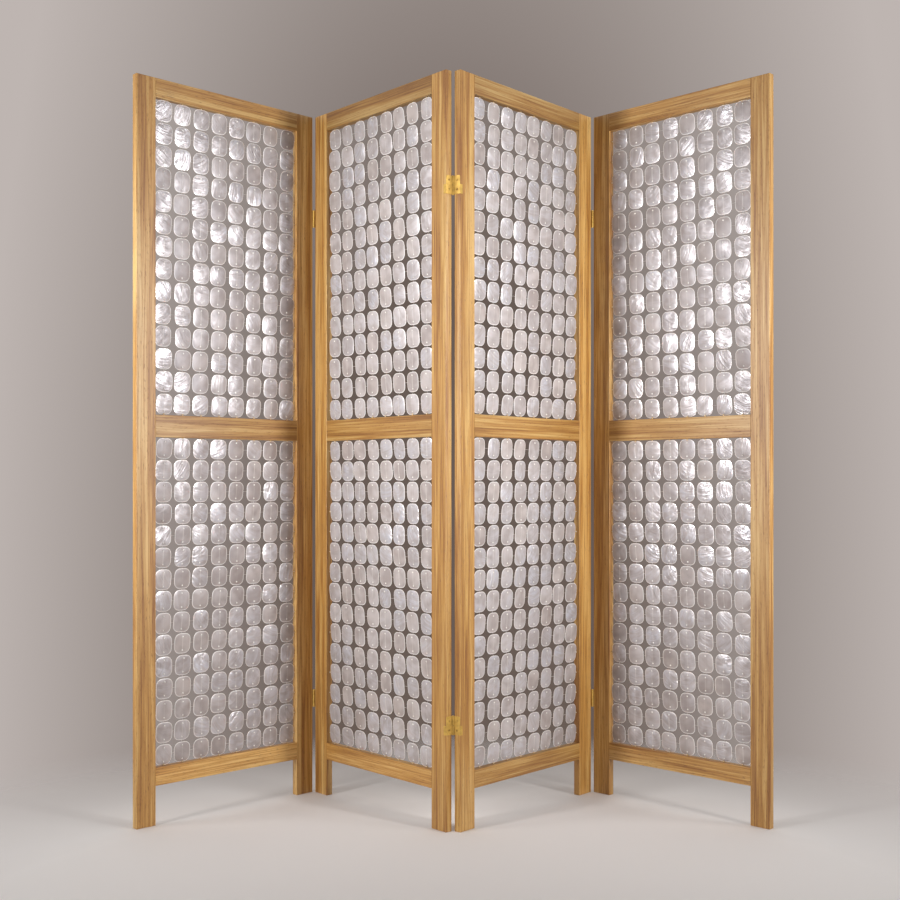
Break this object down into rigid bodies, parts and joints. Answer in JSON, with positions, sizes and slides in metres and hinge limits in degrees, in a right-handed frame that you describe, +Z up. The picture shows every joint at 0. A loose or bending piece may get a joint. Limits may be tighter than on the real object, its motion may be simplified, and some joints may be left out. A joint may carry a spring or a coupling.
{
  "type": "shell folding screen",
  "caption": "Free-standing wooden folding screen whose hinged panels hold rows of translucent rounded shell plates strung on threads.",
  "frame": {"origin": "middle of the plan box of the zigzag, on the floor", "axes": "+X to the right seen from the front, +Y to the back, +Z up along the stiles"},
  "size_m": [1.5296, 0.4072, 1.8],
  "materials": {
    "frame_wood": "satin",
    "shell": "gloss",
    "thread": "satin",
    "hinge_brass": "satin",
    "screw_brass": "satin"
  },
  "bodies": {
    "left_inner_panel": {"left_inner_bottom_rail": "frame_wood", "left_inner_hinge_screws": "screw_brass", "left_inner_left_stile": "frame_wood", "left_inner_lower_shells": "shell", "left_inner_lower_threads": "thread", "left_inner_middle_rail": "frame_wood", "left_inner_right_stile": "frame_wood", "left_inner_top_rail": "frame_wood", "left_inner_upper_shells": "shell", "left_inner_upper_threads": "thread", "left_valley_lower_right_leaf": "hinge_brass", "left_valley_upper_right_leaf": "hinge_brass", "ridge_lower_left_leaf": "hinge_brass", "ridge_lower_pin": "hinge_brass", "ridge_upper_left_leaf": "hinge_brass", "ridge_upper_pin": "hinge_brass"},
    "left_outer_panel": {"left_outer_bottom_rail": "frame_wood", "left_outer_hinge_screws": "screw_brass", "left_outer_left_stile": "frame_wood", "left_outer_lower_shells": "shell", "left_outer_lower_threads": "thread", "left_outer_middle_rail": "frame_wood", "left_outer_right_stile": "frame_wood", "left_outer_top_rail": "frame_wood", "left_outer_upper_shells": "shell", "left_outer_upper_threads": "thread", "left_valley_lower_left_leaf": "hinge_brass", "left_valley_lower_pin": "hinge_brass", "left_valley_upper_left_leaf": "hinge_brass", "left_valley_upper_pin": "hinge_brass"},
    "right_inner_panel": {"ridge_lower_right_leaf": "hinge_brass", "ridge_upper_right_leaf": "hinge_brass", "right_inner_bottom_rail": "frame_wood", "right_inner_hinge_screws": "screw_brass", "right_inner_left_stile": "frame_wood", "right_inner_lower_shells": "shell", "right_inner_lower_threads": "thread", "right_inner_middle_rail": "frame_wood", "right_inner_right_stile": "frame_wood", "right_inner_top_rail": "frame_wood", "right_inner_upper_shells": "shell", "right_inner_upper_threads": "thread", "right_valley_lower_left_leaf": "hinge_brass", "right_valley_lower_pin": "hinge_brass", "right_valley_upper_left_leaf": "hinge_brass", "right_valley_upper_pin": "hinge_brass"},
    "right_outer_panel": {"right_outer_bottom_rail": "frame_wood", "right_outer_hinge_screws": "screw_brass", "right_outer_left_stile": "frame_wood", "right_outer_lower_shells": "shell", "right_outer_lower_threads": "thread", "right_outer_middle_rail": "frame_wood", "right_outer_right_stile": "frame_wood", "right_outer_top_rail": "frame_wood", "right_outer_upper_shells": "shell", "right_outer_upper_threads": "thread", "right_valley_lower_right_leaf": "hinge_brass", "right_valley_upper_right_leaf": "hinge_brass"}
  },
  "joints": [
    {"name": "left_valley_fold", "type": "hinge", "parent": "left_inner_panel", "child": "left_outer_panel", "pos_m": [-0.37167, 0.18789, 0], "axis": [0, 0, 1], "range_deg": [-92, 88]},
    {"name": "ridge_fold", "type": "hinge", "parent": "left_inner_panel", "child": "right_inner_panel", "pos_m": [0, -0.18902, 0], "axis": [0, 0, 1], "range_deg": [-96, 84]},
    {"name": "right_valley_fold", "type": "hinge", "parent": "right_inner_panel", "child": "right_outer_panel", "pos_m": [0.37167, 0.18789, 0], "axis": [0, 0, 1], "range_deg": [-88, 92]}
  ]
}
